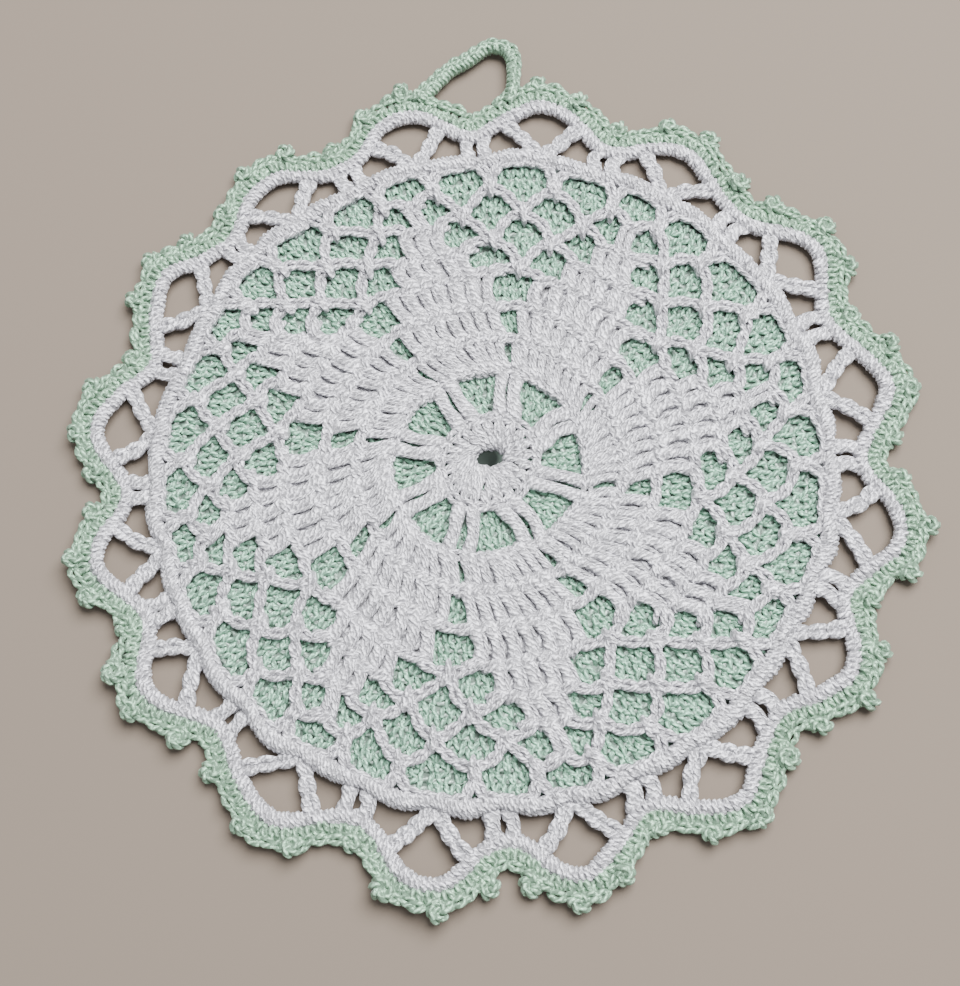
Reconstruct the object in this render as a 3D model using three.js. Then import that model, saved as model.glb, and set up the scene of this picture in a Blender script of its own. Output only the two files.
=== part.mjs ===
// Crochet hot pad: a plain round back, an openwork flower front laid on it, a raised joining ring,
// an open border of scallops, a picot edging and a hanging loop.
// Millimetres, +Z up. The origin is the middle of the pad on the face that rests on the table, and
// +Y points to the hanging loop. Angles are in degrees, clockwise from +Y seen from above.
import * as THREE from 'three';

// Yarn
const CHAIN_WIDTH = 2.1;
const CORD_WIDTH = 2.6;
const PIECE_GAP = 0.3;

// Back, front and joining ring
const LAYER_RADIUS = 65.0;
const BACK_THICKNESS = 2.0;
const BACK_EDGE_ROUND = 0.6;
const FRONT_THICKNESS = 1.8;
const RING_WIDTH = 2.4;
const RING_FOOT = 0.1;
const RING_HEIGHT = 4.4;
const RING_SIDES = 8;
const ROUND_STEPS = 80;

// Flower: eight petals of rows of posts, with loops of chain between them
const PETAL_COUNT = 8;
const SECTOR = 360 / PETAL_COUNT;
const FIRST_PETAL = 33.75;
const CENTRE_DRIFT = new THREE.Vector2(0.35, 1.2);
const CENTRE_HOLE_RADIUS = 1.9;
const CENTRE_HOLE_STEPS = 10;
const SWIRL = 4.5;
const SWIRL_FROM_RADIUS = 28;
const SWIRL_FULL_RADIUS = 14.5;
const LOOP_ARCH = 0.6;
const RIM_RADIUS = 64.8;
const TIP_RADIUS = 59.4;
const LACE_CORNER = 1.5;

// Turn of each petal's axis away from an even spacing, in degrees
const PETAL_SHIFT = [-0.5, 0.5, 0.4, 0.4, 1.4, 0.5, -0.7, -1.8];

// Rows of a petal: `top` is the radius of the row's outer edge, `half` the angle from the petal's
// axis to the post at its edge
const ROWS = [
  { top: 26.0, half: 20.0 },
  { top: 33.0, half: 17.2 },
  { top: 40.3, half: 14.9 },
  { top: 46.2, half: 8.4 },
  { top: 52.0, half: 3.6 },
  { top: 58.2, half: 0.3 },
];
const FIRST_NET_ROW = 1;
const LAST_ROW = ROWS.length - 1;

// Wedge-shaped opening between two spokes, under the first row of each petal
const WEDGE = { inner: 10.8, outer: 18.6, innerHalf: 6.5, outerHalf: 15.0 };

// Border, measured from the middle of a scallop: radii of the cord's middle line, and the openings
const BORDER_INNER_RADIUS = LAYER_RADIUS + 2 * PIECE_GAP + RING_WIDTH;
const BORDER_THICKNESS = 2.0;
const BORDER_FOOT = 0.4;
const CORD_VALLEY_RADIUS = 72.8;
const CORD_TIP_RADIUS = 79.0;
const BORDER_CORNER = 1.4;
const SCALLOP_STEPS = 14;
const RUFFLE_FROM_RADIUS = 68;
const RUFFLE_FULL_RADIUS = 82;
const BIG_HOLE = [
  { angle: 0, radius: 69.0 },
  { angle: 4.3, radius: 73.2 },
  { angle: 2.9, radius: 77.0 },
  { angle: -2.9, radius: 77.0 },
  { angle: -4.3, radius: 73.2 },
];
const SMALL_HOLE = [
  { angle: 2.3, radius: 69.0 },
  { angle: 9.2, radius: 69.0 },
  { angle: 8.8, radius: 71.7 },
  { angle: 6.4, radius: 72.4 },
];

// Scallops: `shift` is the turn away from an even spacing in degrees, `reach` the extra length of the
// tip and `lift` the height of the tip over the table
const SCALLOP_COUNT = 16;
const SCALLOP_PITCH = 360 / SCALLOP_COUNT;
const SCALLOPS = [
  { shift: -0.4, reach: 0.0, lift: 0.4 },
  { shift: 0.5, reach: -1.2, lift: 0.3 },
  { shift: 1.6, reach: 0.0, lift: 0.3 },
  { shift: 1.8, reach: 0.8, lift: 0.5 },
  { shift: 1.2, reach: 0.8, lift: 0.6 },
  { shift: 0.0, reach: 0.8, lift: 0.6 },
  { shift: 0.8, reach: 0.2, lift: 0.9 },
  { shift: -0.1, reach: 0.8, lift: 1.4 },
  { shift: -1.1, reach: 1.6, lift: 2.0 },
  { shift: 0.2, reach: 0.0, lift: 1.5 },
  { shift: 2.4, reach: -0.4, lift: 1.6 },
  { shift: -0.7, reach: 0.9, lift: 1.9 },
  { shift: -2.4, reach: 0.2, lift: 1.5 },
  { shift: -0.8, reach: 0.2, lift: 1.1 },
  { shift: -1.3, reach: -0.9, lift: 0.7 },
  { shift: -0.5, reach: 0.0, lift: 0.4 },
];

// Largest part of an opening's side that one corner bevel takes
const BEVEL_SHARE = 0.4;

// Edging and picots
const EDGE_CLEARANCE = 0.4;
const EDGE_VALLEY_RADIUS = 78.4;
const EDGE_TIP_RADIUS = 84.4;
const EDGE_THICKNESS = 2.2;
const PICOTS_PER_SCALLOP = 3.5;
const PICOT_FREE_ANGLE = 9;
const EDGE_POINTS_BETWEEN = 2;
const PICOT_OUTLINE = [
  { along: -1.3, out: 0.0 },
  { along: -1.6, out: 1.2 },
  { along: -0.8, out: 2.4 },
  { along: 0.8, out: 2.4 },
  { along: 1.6, out: 1.2 },
  { along: 1.3, out: 0.0 },
];

// Hanging loop: the middle line of its cord, from root to root
const LOOP_RADIUS = 1.7;
const LOOP_SIDES = 8;
const LOOP_STEPS = 18;
const LOOP_HEIGHT = 2.1;
const LOOP_ROUTE = [
  { x: -10.0, y: 83.1 },
  { x: -5.0, y: 87.6 },
  { x: 0.2, y: 91.5 },
  { x: 4.1, y: 93.1 },
  { x: 7.3, y: 91.7 },
  { x: 8.4, y: 88.2 },
  { x: 8.0, y: 82.4 },
];

const MINT = new THREE.Color().setRGB(0.64, 0.83, 0.73, THREE.SRGBColorSpace);
const WHITE = new THREE.Color().setRGB(0.9, 0.89, 0.91, THREE.SRGBColorSpace);
const YARN_ROUGHNESS = 0.75;

function polar(angle, radius) {
  const turn = THREE.MathUtils.degToRad(angle);
  return new THREE.Vector2(radius * Math.sin(turn), radius * Math.cos(turn));
}

function circle(radius, steps) {
  return Array.from({ length: steps }, (_, step) => polar((360 * step) / steps, radius));
}

function cosineBell(t) {
  return 0.5 + 0.5 * Math.cos(Math.PI * t);
}

// Corners of a polygon moved inwards by `inset`; the corners run anticlockwise.
function insetCorners(corners, inset) {
  return corners.map((corner, index) => {
    const before = corners.at(index - 1);
    const after = corners[(index + 1) % corners.length];
    const sideIn = corner.clone().sub(before).normalize();
    const sideOut = after.clone().sub(corner).normalize();
    const normalIn = new THREE.Vector2(-sideIn.y, sideIn.x);
    const normalOut = new THREE.Vector2(-sideOut.y, sideOut.x);
    const reach = inset / (1 + normalIn.dot(normalOut));
    return corner.clone().addScaledVector(normalIn.add(normalOut), reach);
  });
}

// Each corner cut off by a short bevel, so that an opening looks drawn round by the yarn.
function bevelCorners(corners, size) {
  return corners.flatMap((corner, index) => {
    const before = corners.at(index - 1);
    const after = corners[(index + 1) % corners.length];
    return [before, after].map((neighbour) => {
      const side = neighbour.clone().sub(corner);
      const cut = Math.min(size, BEVEL_SHARE * side.length());
      return corner.clone().addScaledVector(side.normalize(), cut);
    });
  });
}

function anticlockwise(points) {
  return THREE.ShapeUtils.isClockWise(points) ? points.toReversed() : points;
}

function opening(corners, inset, corner) {
  return bevelCorners(insetCorners(anticlockwise(corners), inset), corner);
}

function openworkSheet(outline, openings, thickness) {
  const shape = new THREE.Shape(outline);
  shape.holes.push(...openings.map((points) => new THREE.Path(anticlockwise(points))));
  return new THREE.ExtrudeGeometry(shape, { depth: thickness, bevelEnabled: false });
}

// The flower's middle lies a little off the middle of the pad, and the offset fades out at the rim.
function onFlower(angle, radius) {
  return polar(angle, radius).addScaledVector(CENTRE_DRIFT, 1 - radius / LAYER_RADIUS);
}

// Direction of a petal's axis: even spacing, its own shift, and a swirl near the middle.
function petalAxis(petal, radius) {
  const turns = Math.floor(petal / PETAL_COUNT);
  const shift = PETAL_SHIFT[petal - turns * PETAL_COUNT];
  const depth = (SWIRL_FROM_RADIUS - radius) / (SWIRL_FROM_RADIUS - SWIRL_FULL_RADIUS);
  return FIRST_PETAL + SECTOR * petal + shift + SWIRL * Math.max(0, depth);
}

// Point of a sector, `across` running from 0 at one petal's axis to SECTOR at the next one's.
function inSector(petal, across, radius) {
  const start = petal + Math.floor(across / SECTOR);
  const share = across / SECTOR - Math.floor(across / SECTOR);
  const from = petalAxis(start, radius);
  return onFlower(from + share * (petalAxis(start + 1, radius) - from), radius);
}

// Feet of a row's chain loops: the petals' edges, and the tops of the loops below.
function loopFeet(row) {
  const { half } = ROWS[row];
  const between = row > FIRST_NET_ROW + 1 ? loopTops(row - 1) : [];
  return [half, ...between, SECTOR - half];
}

function loopTops(row) {
  const feet = loopFeet(row);
  return feet.slice(1).map((foot, index) => (foot + feet[index]) / 2);
}

// Corners of the opening under one chain loop: down the near petal, along the row below, up to the
// far foot and over the loop's top.
function loopGap(row, loop) {
  const { top, half } = ROWS[row];
  const below = ROWS[row - 1];
  const feet = loopFeet(row);
  const first = loop === 0;
  const last = loop === feet.length - 2;
  const corners = [];
  if (first) {
    corners.push([half, top], [half, below.top], [below.half, below.top]);
  } else {
    corners.push([feet[loop], below.top + LOOP_ARCH]);
  }
  if (!first && !last) {
    corners.push([loopFeet(row - 1)[loop], ROWS[row - 2].top + LOOP_ARCH]);
  }
  if (last) {
    corners.push([SECTOR - below.half, below.top], [SECTOR - half, below.top], [SECTOR - half, top]);
  } else {
    corners.push([feet[loop + 1], below.top + LOOP_ARCH]);
  }
  corners.push([loopTops(row)[loop], top + LOOP_ARCH]);
  return corners;
}

// Corners of the openings under the rim: one over each petal's tip and one over each foot of the
// last row of loops.
function rimGaps() {
  const tops = loopTops(LAST_ROW);
  const feet = loopFeet(LAST_ROW);
  const lastTop = ROWS[LAST_ROW].top + LOOP_ARCH;
  const footRadius = ROWS[LAST_ROW - 1].top + LOOP_ARCH;
  const starts = [tops.at(-1) - SECTOR, ...tops.slice(0, -1)];
  return starts.map((start, index) => {
    const end = tops[index];
    const foot = index === 0 ? [0, TIP_RADIUS] : [feet[index], footRadius];
    return [[start, lastTop], foot, [end, lastTop], [end, RIM_RADIUS], [start, RIM_RADIUS]];
  });
}

function sectorOpenings(petal) {
  const gaps = [];
  for (let row = FIRST_NET_ROW; row <= LAST_ROW; row += 1) {
    loopTops(row).forEach((_, loop) => gaps.push(loopGap(row, loop)));
  }
  gaps.push(...rimGaps());
  return gaps.map((corners) => {
    const points = corners.map(([across, radius]) => inSector(petal, across, radius));
    return opening(points, CHAIN_WIDTH / 2, LACE_CORNER);
  });
}

function wedgeOpening(petal) {
  const corner = (half, radius) => onFlower(petalAxis(petal, radius) + half, radius);
  const points = [
    corner(-WEDGE.outerHalf, WEDGE.outer),
    corner(WEDGE.outerHalf, WEDGE.outer),
    corner(WEDGE.innerHalf, WEDGE.inner),
    corner(-WEDGE.innerHalf, WEDGE.inner),
  ];
  return opening(points, 0, LACE_CORNER);
}

function frontLace() {
  const centreHole = circle(CENTRE_HOLE_RADIUS, CENTRE_HOLE_STEPS).map((point) => point.add(CENTRE_DRIFT));
  const openings = [centreHole];
  for (let petal = 0; petal < PETAL_COUNT; petal += 1) {
    openings.push(wedgeOpening(petal), ...sectorOpenings(petal));
  }
  const sheet = openworkSheet(circle(LAYER_RADIUS, ROUND_STEPS), openings, FRONT_THICKNESS);
  return sheet.translate(0, 0, BACK_THICKNESS + PIECE_GAP);
}

function backDisc() {
  const inset = LAYER_RADIUS - BACK_EDGE_ROUND;
  const profile = [
    new THREE.Vector2(0, 0),
    new THREE.Vector2(inset, 0),
    new THREE.Vector2(LAYER_RADIUS, BACK_EDGE_ROUND),
    new THREE.Vector2(LAYER_RADIUS, BACK_THICKNESS - BACK_EDGE_ROUND),
    new THREE.Vector2(inset, BACK_THICKNESS),
    new THREE.Vector2(0, BACK_THICKNESS),
  ];
  return new THREE.LatheGeometry(profile, ROUND_STEPS).rotateX(Math.PI / 2);
}

// The joining ring is an oval section carried round the pad.
function joiningRing() {
  const middleRadius = LAYER_RADIUS + PIECE_GAP + RING_WIDTH / 2;
  const middleHeight = (RING_FOOT + RING_HEIGHT) / 2;
  const profile = [];
  for (let side = 0; side <= RING_SIDES; side += 1) {
    const turn = (2 * Math.PI * (side % RING_SIDES)) / RING_SIDES;
    const out = (RING_WIDTH / 2) * Math.cos(turn);
    const up = (middleHeight - RING_FOOT) * Math.sin(turn);
    profile.push(new THREE.Vector2(middleRadius + out, middleHeight + up));
  }
  return new THREE.LatheGeometry(profile, ROUND_STEPS).rotateX(Math.PI / 2);
}

function scallopAngle(scallop) {
  const turns = Math.floor(scallop / SCALLOP_COUNT);
  const { shift } = SCALLOPS[scallop - turns * SCALLOP_COUNT];
  return SCALLOP_PITCH * (scallop + 0.5) + shift;
}

// Angle on a scallop, `t` running from -1 in one valley over 0 at the tip to 1 in the next valley.
function alongScallop(scallop, t) {
  const middle = scallopAngle(scallop);
  const neighbour = scallopAngle(scallop + Math.sign(t));
  return middle + Math.abs(t) * (neighbour - middle) / 2;
}

// Scallop and `t` of a point in the border, found from its angle.
function scallopAt(angle) {
  const even = Math.floor(angle / SCALLOP_PITCH);
  const scallop = [even - 1, even, even + 1].find((candidate) => angle <= alongScallop(candidate, 1));
  const middle = scallopAngle(scallop);
  const side = angle < middle ? -1 : 1;
  const reach = Math.abs(alongScallop(scallop, side) - middle);
  return { row: SCALLOPS[(scallop + SCALLOP_COUNT) % SCALLOP_COUNT], t: (angle - middle) / reach };
}

// Radius of a scalloped line that has the given radii in the valleys and at an even tip.
function scallopRadius(angle, valleyRadius, tipRadius) {
  const { row, t } = scallopAt(angle);
  return valleyRadius + (tipRadius + row.reach - valleyRadius) * cosineBell(t);
}

function scallopLine(valleyRadius, tipRadius) {
  const points = [];
  for (let scallop = 0; scallop < SCALLOP_COUNT; scallop += 1) {
    for (let step = 0; step < SCALLOP_STEPS; step += 1) {
      const angle = alongScallop(scallop, (2 * step) / SCALLOP_STEPS - 1);
      points.push(polar(angle, scallopRadius(angle, valleyRadius, tipRadius)));
    }
  }
  return points;
}

// The border and its edging rise towards the tips, each scallop by its own lift.
function ruffle(geometry) {
  const position = geometry.getAttribute('position');
  for (let index = 0; index < position.count; index += 1) {
    const x = position.getX(index);
    const y = position.getY(index);
    const angle = (THREE.MathUtils.radToDeg(Math.atan2(x, y)) + 360) % 360;
    const { row, t } = scallopAt(angle);
    const outward = THREE.MathUtils.smoothstep(Math.hypot(x, y), RUFFLE_FROM_RADIUS, RUFFLE_FULL_RADIUS);
    const rise = BORDER_FOOT + row.lift * outward * cosineBell(t);
    position.setZ(index, position.getZ(index) + rise);
  }
  return geometry;
}

function borderOpening(scallop, corners, side) {
  const middle = scallopAngle(scallop);
  const { reach } = SCALLOPS[scallop];
  const points = corners.map(({ angle, radius }) => {
    const outward = (radius - BORDER_INNER_RADIUS) / (CORD_TIP_RADIUS - BORDER_INNER_RADIUS);
    return polar(middle + side * angle, radius + reach * outward);
  });
  return opening(points, 0, BORDER_CORNER);
}

function laceBorder() {
  const openings = [circle(BORDER_INNER_RADIUS, ROUND_STEPS)];
  for (let scallop = 0; scallop < SCALLOP_COUNT; scallop += 1) {
    openings.push(borderOpening(scallop, BIG_HOLE, 1));
    openings.push(borderOpening(scallop, SMALL_HOLE, 1));
    openings.push(borderOpening(scallop, SMALL_HOLE, -1));
  }
  const half = CORD_WIDTH / 2;
  const outline = scallopLine(CORD_VALLEY_RADIUS + half, CORD_TIP_RADIUS + half);
  return ruffle(openworkSheet(outline, openings, BORDER_THICKNESS));
}

function edgeRadius(angle) {
  return scallopRadius(angle, EDGE_VALLEY_RADIUS, EDGE_TIP_RADIUS);
}

// Outer line of the edging: picots at an even spacing, left out under the hanging loop.
function edgingOutline() {
  const count = SCALLOP_COUNT * PICOTS_PER_SCALLOP;
  const spacing = 2 / PICOTS_PER_SCALLOP;
  const points = [];
  for (let picot = 0; picot < count; picot += 1) {
    const along = (picot + 0.5) * spacing;
    const scallop = Math.floor(along / 2);
    const t = along - 2 * scallop - 1;
    const angle = alongScallop(scallop, t);
    const free = Math.min(angle, 360 - angle) > PICOT_FREE_ANGLE;
    for (const corner of free ? PICOT_OUTLINE : []) {
      const radius = edgeRadius(angle) + corner.out;
      points.push(polar(angle + THREE.MathUtils.radToDeg(corner.along / radius), radius));
    }
    const gap = (360 / count) / (EDGE_POINTS_BETWEEN + 1);
    for (let step = 1; step <= EDGE_POINTS_BETWEEN; step += 1) {
      const between = (angle + step * gap) % 360;
      points.push(polar(between, edgeRadius(between)));
    }
  }
  return points;
}

function edging() {
  const inset = CORD_WIDTH / 2 + EDGE_CLEARANCE;
  const inner = scallopLine(CORD_VALLEY_RADIUS + inset, CORD_TIP_RADIUS + inset);
  return ruffle(openworkSheet(edgingOutline(), [inner], EDGE_THICKNESS));
}

function hangingLoop() {
  const section = new THREE.Shape(circle(LOOP_RADIUS, LOOP_SIDES));
  const route = LOOP_ROUTE.map(({ x, y }) => new THREE.Vector3(x, y, LOOP_HEIGHT));
  const extrudePath = new THREE.CatmullRomCurve3(route);
  return new THREE.ExtrudeGeometry(section, { steps: LOOP_STEPS, bevelEnabled: false, extrudePath });
}

function yarnPiece(name, geometry, color) {
  const material = new THREE.MeshStandardMaterial({ color, roughness: YARN_ROUGHNESS, metalness: 0 });
  const mesh = new THREE.Mesh(geometry, material);
  mesh.name = name;
  return mesh;
}

const hotPad = new THREE.Group();
hotPad.add(
  yarnPiece('back_disc', backDisc(), MINT),
  yarnPiece('front_lace', frontLace(), WHITE),
  yarnPiece('joining_ring', joiningRing(), WHITE),
  yarnPiece('lace_border', laceBorder(), WHITE),
  yarnPiece('edging', edging(), MINT),
  yarnPiece('hanging_loop', hangingLoop(), MINT),
);

export default hotPad;
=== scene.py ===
"""Crochet hot pad, dressed stitch by stitch around its solids.

Every stitch is a round strand of yarn carried along a short path. Inside the shape functions lengths
are millimetres and angles are degrees, clockwise from +Y seen from above; the meshes are in metres.
A stitch is drawn in its own frame: across, along and up.
"""
import math
from typing import NamedTuple

import bpy
import numpy as np
from bpy.props import FloatProperty, FloatVectorProperty, IntProperty, PointerProperty
from mathutils import Matrix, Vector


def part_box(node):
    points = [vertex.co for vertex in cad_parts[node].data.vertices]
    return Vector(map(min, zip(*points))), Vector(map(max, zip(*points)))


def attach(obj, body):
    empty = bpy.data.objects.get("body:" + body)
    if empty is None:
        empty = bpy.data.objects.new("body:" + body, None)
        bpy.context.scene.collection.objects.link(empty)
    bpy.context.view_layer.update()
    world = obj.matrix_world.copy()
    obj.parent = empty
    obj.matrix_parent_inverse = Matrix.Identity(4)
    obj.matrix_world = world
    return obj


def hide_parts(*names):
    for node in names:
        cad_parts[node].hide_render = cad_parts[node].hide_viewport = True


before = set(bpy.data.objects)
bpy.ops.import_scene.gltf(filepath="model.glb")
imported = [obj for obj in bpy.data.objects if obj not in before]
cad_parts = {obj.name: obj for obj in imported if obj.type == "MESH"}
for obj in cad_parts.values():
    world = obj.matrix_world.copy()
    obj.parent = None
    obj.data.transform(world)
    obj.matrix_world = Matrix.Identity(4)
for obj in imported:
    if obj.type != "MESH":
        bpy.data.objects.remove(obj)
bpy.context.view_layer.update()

bl_info = {
    "name": "Crochet hot pad",
    "version": (1, 0, 0),
    "blender": (4, 5, 0),
    "location": "View3D > Sidebar > Hot pad",
    "description": "Crochets a two-layer hot pad around its solids, stitch by stitch",
    "category": "Add Mesh",
}

MM = 0.001
UP = np.array([0.0, 0.0, 1.0])


# Layers, measured on the solids
def reach_of(node, axis):
    """Highest coordinate of a solid along one axis, in millimetres."""
    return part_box(node)[1][axis] / MM


LACE_SINK = 0.15
LAYER_RADIUS = reach_of("back_disc", 0)
BACK_TOP = reach_of("back_disc", 2)
BACK_MIDDLE = BACK_TOP / 2
LACE_MIDDLE = (BACK_TOP + reach_of("front_lace", 2)) / 2 - LACE_SINK
RING_RADIUS = (LAYER_RADIUS + reach_of("joining_ring", 0)) / 2
RING_MIDDLE = reach_of("joining_ring", 2) / 2


# Flower
class PetalRow(NamedTuple):
    """A petal's row: outer radius, angle from the petal's axis to its edge post, number of posts, and
    how far the net's loops of that row reach beyond it."""

    top: float
    half: float
    posts: int
    arch: float

    @property
    def apex(self):
        """Radius of the tops of the net's loops."""
        return self.top + self.arch


PETAL_ROWS = (
    PetalRow(26.0, 19.0, 9, 0.0),
    PetalRow(33.0, 17.2, 8, 0.0),
    PetalRow(40.3, 14.9, 7, 1.2),
    PetalRow(46.2, 8.4, 5, 1.7),
    PetalRow(52.0, 3.6, 3, 1.7),
    PetalRow(58.2, 0.9, 2, 1.2),
)
ROW_TOPS = np.array([row.top for row in PETAL_ROWS])
LAST_ROW = len(PETAL_ROWS) - 1
FIRST_NET_ROW = 1
WEDGE_OUTER = 18.6
RIM_RADIUS = 65.2
PETAL_COUNT = 8
SECTOR = 360.0 / PETAL_COUNT
FIRST_PETAL = 33.75
PETAL_SHIFT = np.array([-0.5, 0.5, 0.4, 0.4, 1.4, 0.5, -0.7, -1.8])

# The flower's middle, its hole and the net lie off the pad's axis, and the petals swirl and twist
CENTRE_DRIFT = np.array([-0.3, 0.3])
HOLE_SHIFT = np.array([0.0, 1.3])
NET_DRIFT = np.array([-0.6, -0.25])
NET_DRIFT_RADIUS = 50.0
NET_DRIFT_REACH = 16.0
TWIST_INSIDE = 0.8
TWIST_AT_RIM = -1.8
TWIST_FROM_RADIUS = 44.0
SWIRL = 7.2
SWIRL_FROM_RADIUS = 28.0
SWIRL_FULL_RADIUS = 14.5

# Border. Each scallop has its own turn away from an even spacing, extra reach and lift of its tip.
SCALLOP_SHIFT = np.array(
    [-0.4, 0.5, 1.6, 1.8, 1.2, 0.0, 0.8, -0.1, -1.1, 0.2, 2.4, -0.7, -2.4, -0.8, -1.3, -0.5]
)
SCALLOP_REACH = np.array(
    [0.0, -1.2, 0.0, 0.8, 0.8, 0.8, 0.2, 0.8, 1.6, 0.0, -0.4, 0.9, 0.2, 0.2, -0.9, 0.0]
)
SCALLOP_LIFT = np.array(
    [0.4, 0.3, 0.3, 0.5, 0.6, 0.6, 0.9, 1.4, 2.0, 1.5, 1.6, 1.9, 1.5, 1.1, 0.7, 0.4]
)
SCALLOP_COUNT = len(SCALLOP_SHIFT)
SCALLOP_PITCH = 360.0 / SCALLOP_COUNT
CORD_VALLEY_RADIUS = 72.8
CORD_TIP_RADIUS = 79.0
RUFFLE_FROM_RADIUS = 68.0
RUFFLE_FULL_RADIUS = 82.0
BORDER_MIDDLE = 1.45

# Middle line of the hanging loop's cord, from root to root inside the edging
LOOP_ROUTE = np.array(
    [
        (-11.6, 80.8), (-10.0, 83.1), (-5.0, 87.6), (0.2, 91.5), (4.1, 93.1), (7.3, 91.7),
        (8.4, 88.2), (8.0, 82.4), (7.2, 79.6),
    ]
)

# Stitches, in millimetres: across, along, up. A chain link is a closed loop whose head lies under the
# next link's foot.
LINK_LENGTH = 2.4
LINK_WIDTH = 2.1
CHAIN_LINK = np.array(
    [
        (0.00, -0.55, -0.40), (-0.22, -0.10, 0.08), (-0.55, 0.65, 0.34), (-0.60, 1.45, 0.28),
        (-0.32, 2.25, -0.06), (0.00, 2.62, -0.36), (0.32, 2.25, -0.06), (0.60, 1.45, 0.28),
        (0.55, 0.65, 0.34), (0.22, -0.10, 0.08),
    ]
)

# A plain stitch: two legs that open outwards from the stitch below
PLAIN_WIDTH = 2.3
PLAIN_HEIGHT = 2.05
PLAIN_STITCH = np.array(
    [
        (-0.98, 2.45, -0.50), (-0.86, 1.55, 0.26), (-0.46, 0.50, 0.38), (0.00, -0.45, -0.42),
        (0.46, 0.50, 0.38), (0.86, 1.55, 0.26), (0.98, 2.45, -0.50),
    ]
)

# The same stitch from below: a short strand along the round that bulges down
UNDER_BUMP = np.array([(-1.25, 0.0, 0.40), (-0.60, 0.0, -0.14), (0.60, 0.0, -0.14), (1.25, 0.0, 0.40)])

# A post: a broad body and a finer strand beside it. Across is a share of the post's width and along a
# share of its height. Each post is bowed by its own amount.
POST_BODY = np.array(
    [
        (0.08, -0.06, -0.60), (0.10, 0.05, 0.22), (0.12, 0.22, 0.48), (0.14, 0.45, 0.40),
        (0.14, 0.70, 0.32), (0.12, 0.92, 0.06), (0.08, 1.10, -0.50),
    ]
)
POST_SIDE = np.array(
    [
        (-0.14, -0.02, -0.50), (-0.18, 0.10, 0.30), (-0.24, 0.32, 0.66), (-0.26, 0.60, 0.60),
        (-0.22, 0.88, 0.22), (-0.14, 1.10, -0.45),
    ]
)
BODY_STEPS = 11
SIDE_STEPS = 10
POST_BOW = 0.07
POST_BOW_SPREAD = 0.07

# The body is narrowest at its waist and flares with the square of the distance from it, up to a limit
BODY_WAIST = 0.14
FLARE_RATE = 1.9
FLARE_LIMIT = 0.2
BODY_FLARE = np.minimum(FLARE_RATE * (np.linspace(-1.0, 1.0, BODY_STEPS) - BODY_WAIST) ** 2, FLARE_LIMIT)

# The top of a post: two strands that run aslant along the row, the second one behind the first
TOP_PITCH = 2.4
TOP_FRONT = np.array(
    [
        (-0.86, -0.55, -0.75), (-0.66, 0.00, 0.15), (-0.30, 0.85, 0.62), (0.06, 1.60, 0.30),
        (0.34, 2.25, -0.75),
    ]
)
TOP_BACK = np.array(
    [
        (0.16, -0.75, -0.75), (0.38, -0.20, 0.00), (0.72, 0.60, 0.42), (1.02, 1.35, 0.14),
        (1.20, 2.00, -0.75),
    ]
)


# Chains and wrapped cords
class Chain(NamedTuple):
    """A chain: pitch and width of its links, radius of its yarn, and random spread of its links."""

    pitch: float = 2.9
    width: float = 2.45
    radius: float = 0.58
    spread: float = 0.1


NET_CHAIN = Chain()
HEART_CHAIN = Chain(width=2.4)
SPOKE_CHAIN = Chain(pitch=2.0, width=2.5)
BRIDGE_CHAIN = Chain(pitch=2.4, width=2.3)
LEG_CHAIN = Chain(pitch=3.1, width=3.4, radius=0.82)
RIM_CHAIN = Chain(pitch=2.5, width=2.4, radius=0.6, spread=0.38)
LOOP_CHAIN = Chain(pitch=2.3, width=2.0, radius=0.5)


class Wrap(NamedTuple):
    """A wrapped cord: pitch, half width and half height of its turns, radius of its yarn, and how far a
    turn leans along the cord."""

    pitch: float
    half_width: float
    half_height: float
    radius: float
    slant: float = 0.25


RING_WRAP = Wrap(0.9, 1.1, 1.35, 0.72)
CORD_WRAP = Wrap(1.05, 1.0, 0.6, 0.74)
PICOT_WRAP = Wrap(1.2, 0.72, 0.65, 0.6, slant=0.6)
LOOP_WRAP = Wrap(1.0, 1.05, 1.0, 0.6)

# Points round a turn, and how far its lean runs ahead of its height, in radians
WRAP_STEPS = 10
WRAP_LEAD = 0.6


# Points in the pad's plane
def polar(angle, radius):
    """Points from angles and radii: x = r sin a, y = r cos a."""
    turn = np.radians(angle)
    return np.stack([radius * np.sin(turn), radius * np.cos(turn)], axis=-1)


def raised(points, height):
    """Points of the plane with a height added as their third coordinate."""
    height = np.broadcast_to(height, points.shape[:-1])
    return np.concatenate([points, height[..., None]], axis=-1)


def on_lace(points, rise=0.0):
    """Points of the plane raised to the middle of the lace, and a rise above it."""
    return raised(points, LACE_MIDDLE + rise)


def heading(angle):
    """Horizontal unit vectors that point to angles."""
    return raised(polar(angle, 1.0), 0.0)


def full_turn(count, start=0.0):
    """Equal angles once round, the first one `start` steps on from 0."""
    return 360.0 * (np.arange(count) + start) / count


def both_sides(count):
    """Every number below the count twice, with -1 and 1 for its two sides."""
    return np.repeat(np.arange(count), 2), np.tile([-1.0, 1.0], count)


def smoothstep(value, low, high):
    """3 t^2 - 2 t^3 of the share t of the way from low to high, held between 0 and 1."""
    t = np.clip((value - low) / (high - low), 0.0, 1.0)
    return t * t * (3.0 - 2.0 * t)


def cosine_bell(t):
    """Half of 1 + cos(pi t): 1 at t = 0, falling to 0 at t = -1 and t = 1."""
    return 0.5 + 0.5 * np.cos(np.pi * t)


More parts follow.
